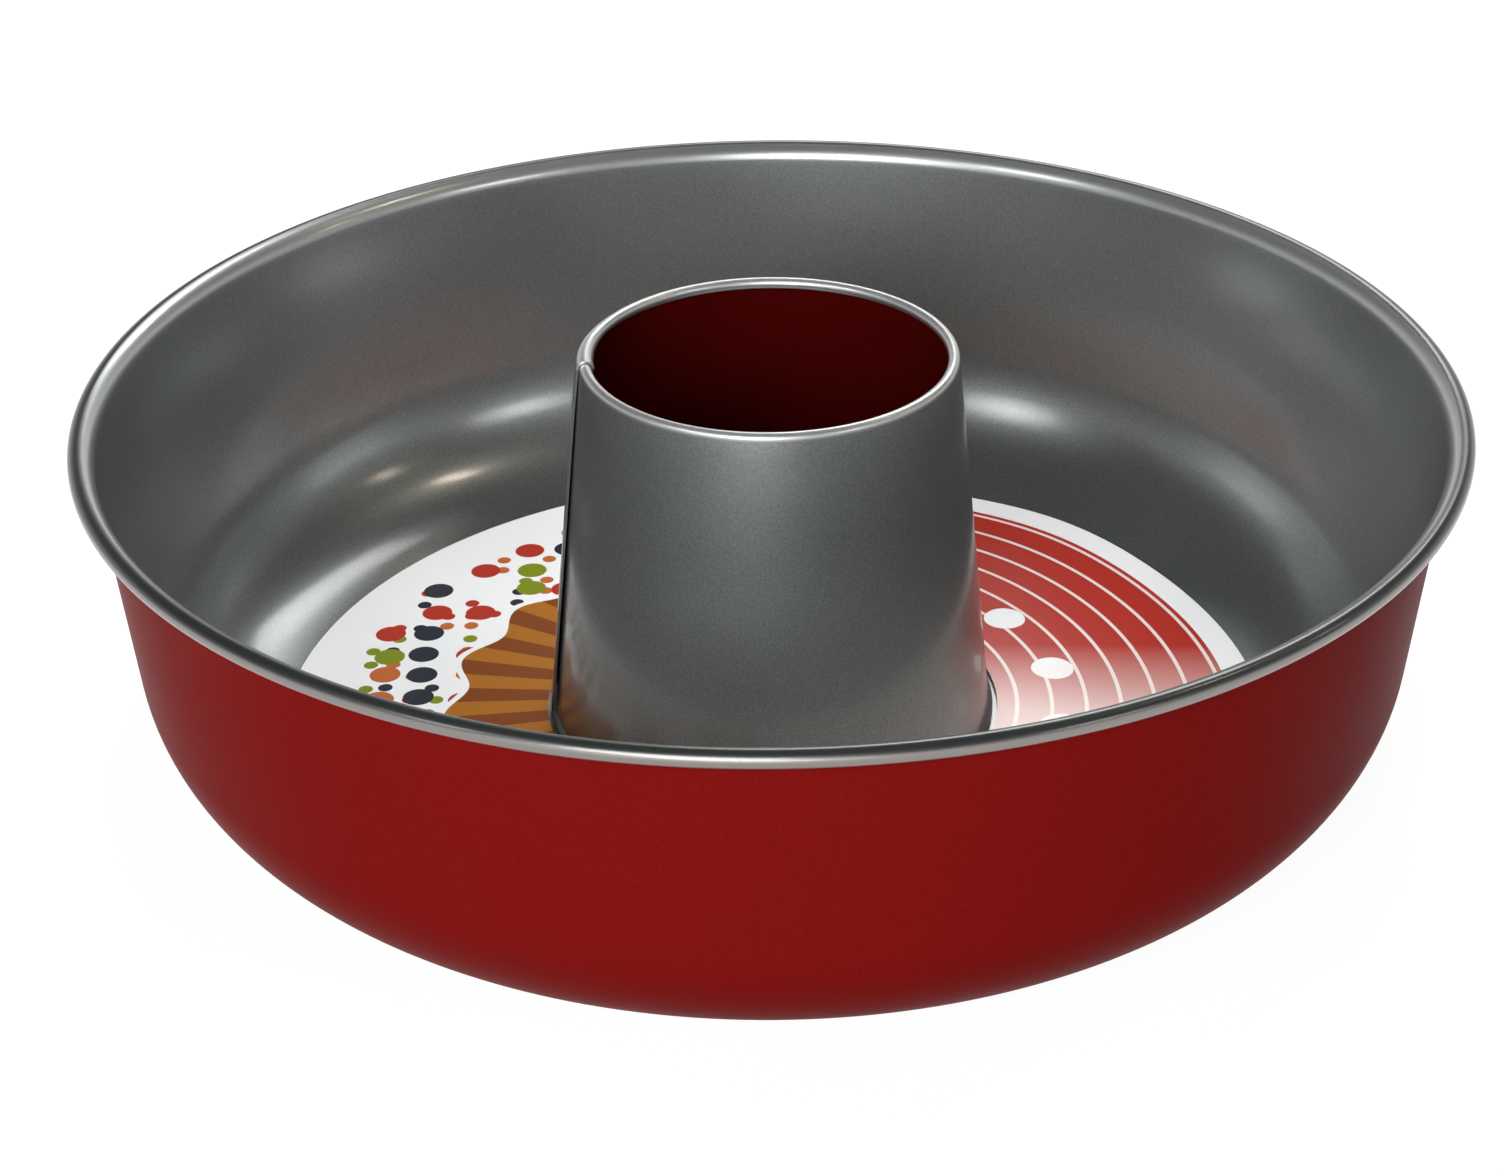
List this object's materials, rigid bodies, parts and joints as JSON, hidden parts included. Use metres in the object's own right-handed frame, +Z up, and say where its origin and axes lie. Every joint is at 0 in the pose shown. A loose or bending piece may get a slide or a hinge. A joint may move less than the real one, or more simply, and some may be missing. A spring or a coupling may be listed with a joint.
{
  "type": "savarin mould",
  "caption": "Round savarin ring mould of coated steel sheet, grey inside and red outside, with a rolled rim, an open conical centre tube and a loose printed card ring on its floor.",
  "frame": {"origin": "centre of the underside of the floor, on the resting plane", "axes": "+Z up along the axis of the centre tube, -Y towards the picture's camera"},
  "size_m": [0.28, 0.28, 0.0845],
  "materials": {
    "nonstick_grey": "satin grey non-stick coat with fine flake",
    "red_lacquer": "semi-gloss deep red lacquer",
    "printed_card": "glossy printed card"
  },
  "bodies": {
    "mould": {"pan_shell": "nonstick_grey", "centre_tube": "nonstick_grey"},
    "card": {"label_card": "printed_card"}
  },
  "joints": [
    {"name": "card_lift", "type": "slide", "parent": "mould", "child": "card", "axis": [0, 0, 1], "range_m": [0, 0.09]}
  ]
}
